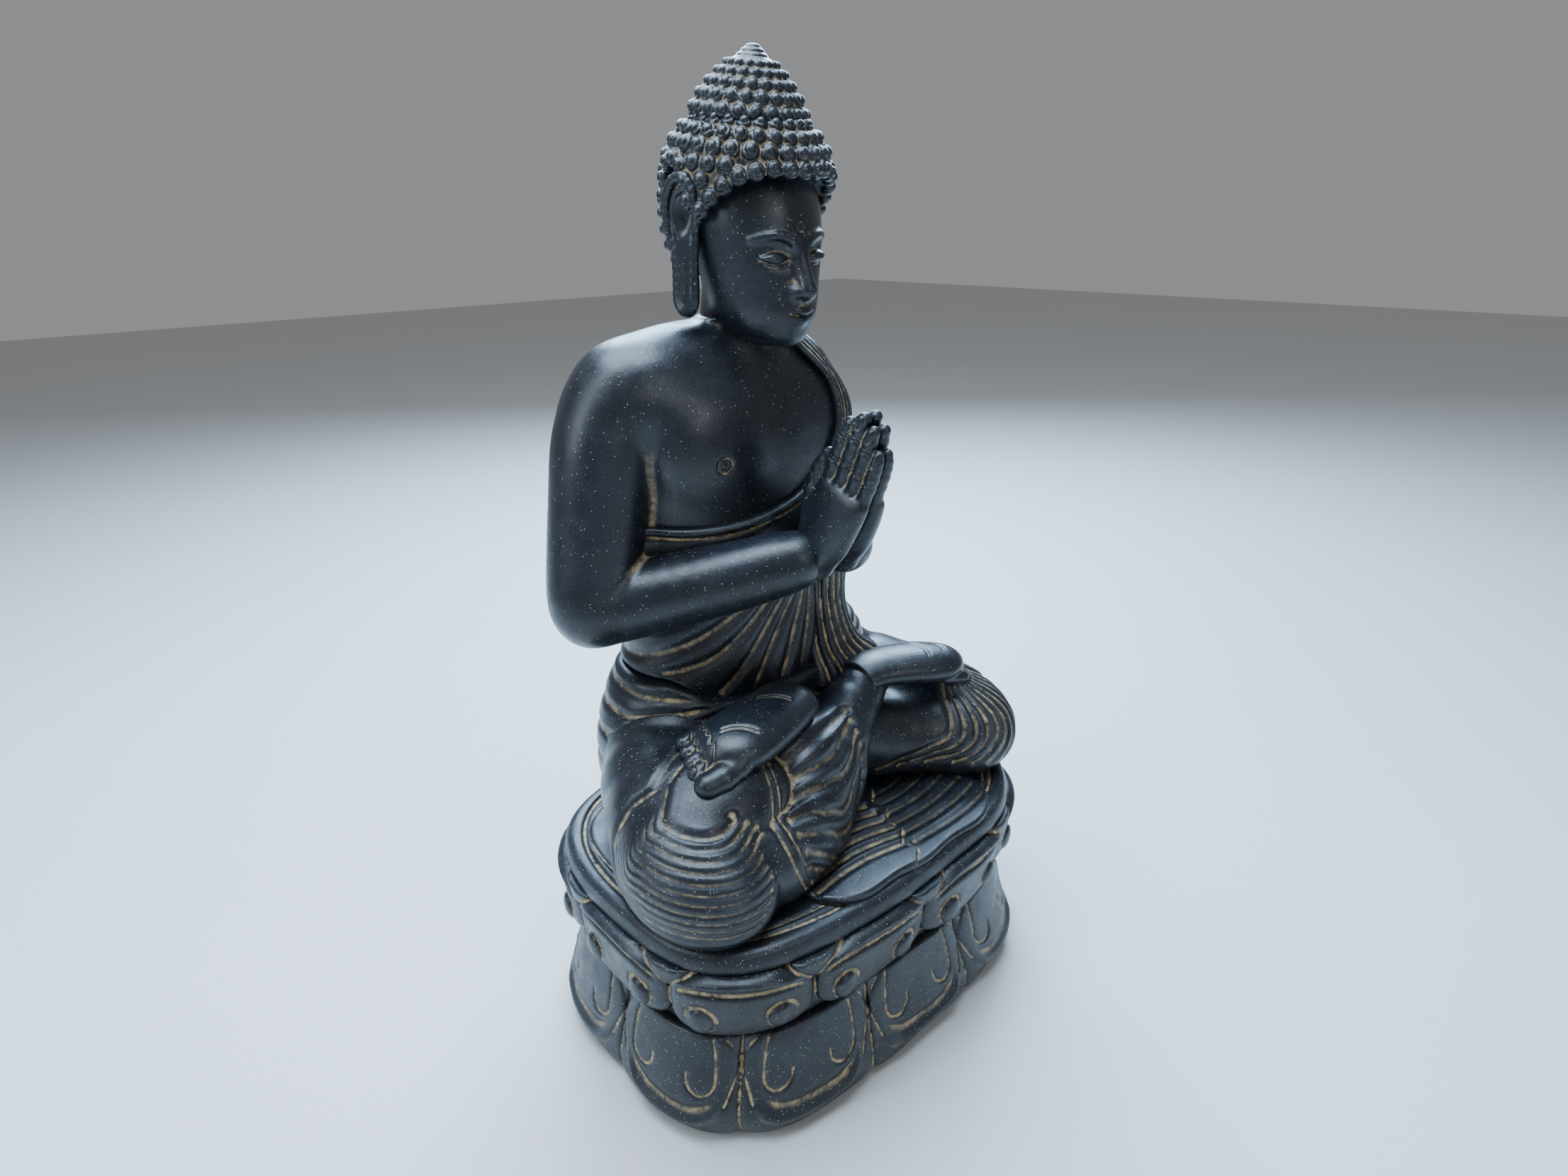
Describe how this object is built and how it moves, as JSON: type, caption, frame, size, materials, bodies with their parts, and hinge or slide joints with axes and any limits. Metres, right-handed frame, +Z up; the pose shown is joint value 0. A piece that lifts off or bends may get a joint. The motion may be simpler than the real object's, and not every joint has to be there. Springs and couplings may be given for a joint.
{
  "type": "buddha statue",
  "caption": "Seated Buddha with joined palms, bare right shoulder and pleated robe, on a hollow two-tier lotus base; cast stone sections on a steel armature.",
  "frame": {"origin": "centre of the footprint, on the ground", "axes": "+Z up; the figure faces -Y; its right side is towards -X"},
  "size_m": [0.8374, 0.6032, 1.5],
  "materials": {
    "base_stone": "satin black cast stone with ochre rubbed into the grooves",
    "body_stone": "satin blue-black cast stone, fine pale speckle",
    "robe_stone": "satin black cast stone with gold-ochre in the fold lines",
    "armature_steel": "plain bar, lightly rusted"
  },
  "bodies": {
    "root": {"lower_lotus_tier": "base_stone", "upper_lotus_tier": "base_stone", "seat_slab": "base_stone", "hips": "robe_stone", "right_leg": "robe_stone", "left_leg": "robe_stone", "robe_fan": "robe_stone", "upper_robe": "robe_stone", "left_arm": "robe_stone", "left_sleeve": "robe_stone", "left_foot": "body_stone", "right_foot": "body_stone", "torso": "body_stone", "right_hand": "body_stone", "left_hand": "body_stone", "right_arm": "body_stone", "hair_cap": "body_stone", "head": "body_stone", "ushnisha": "body_stone", "right_ear": "body_stone", "left_ear": "body_stone", "spine_bar": "armature_steel", "ushnisha_dowel": "armature_steel", "right_arm_rod": "armature_steel", "left_arm_rod": "armature_steel", "right_leg_rod": "armature_steel", "left_leg_rod": "armature_steel", "lower_hoop": "armature_steel", "upper_hoop": "armature_steel", "front_cross_bar": "armature_steel", "rear_cross_bar": "armature_steel"}
  },
  "joints": []
}
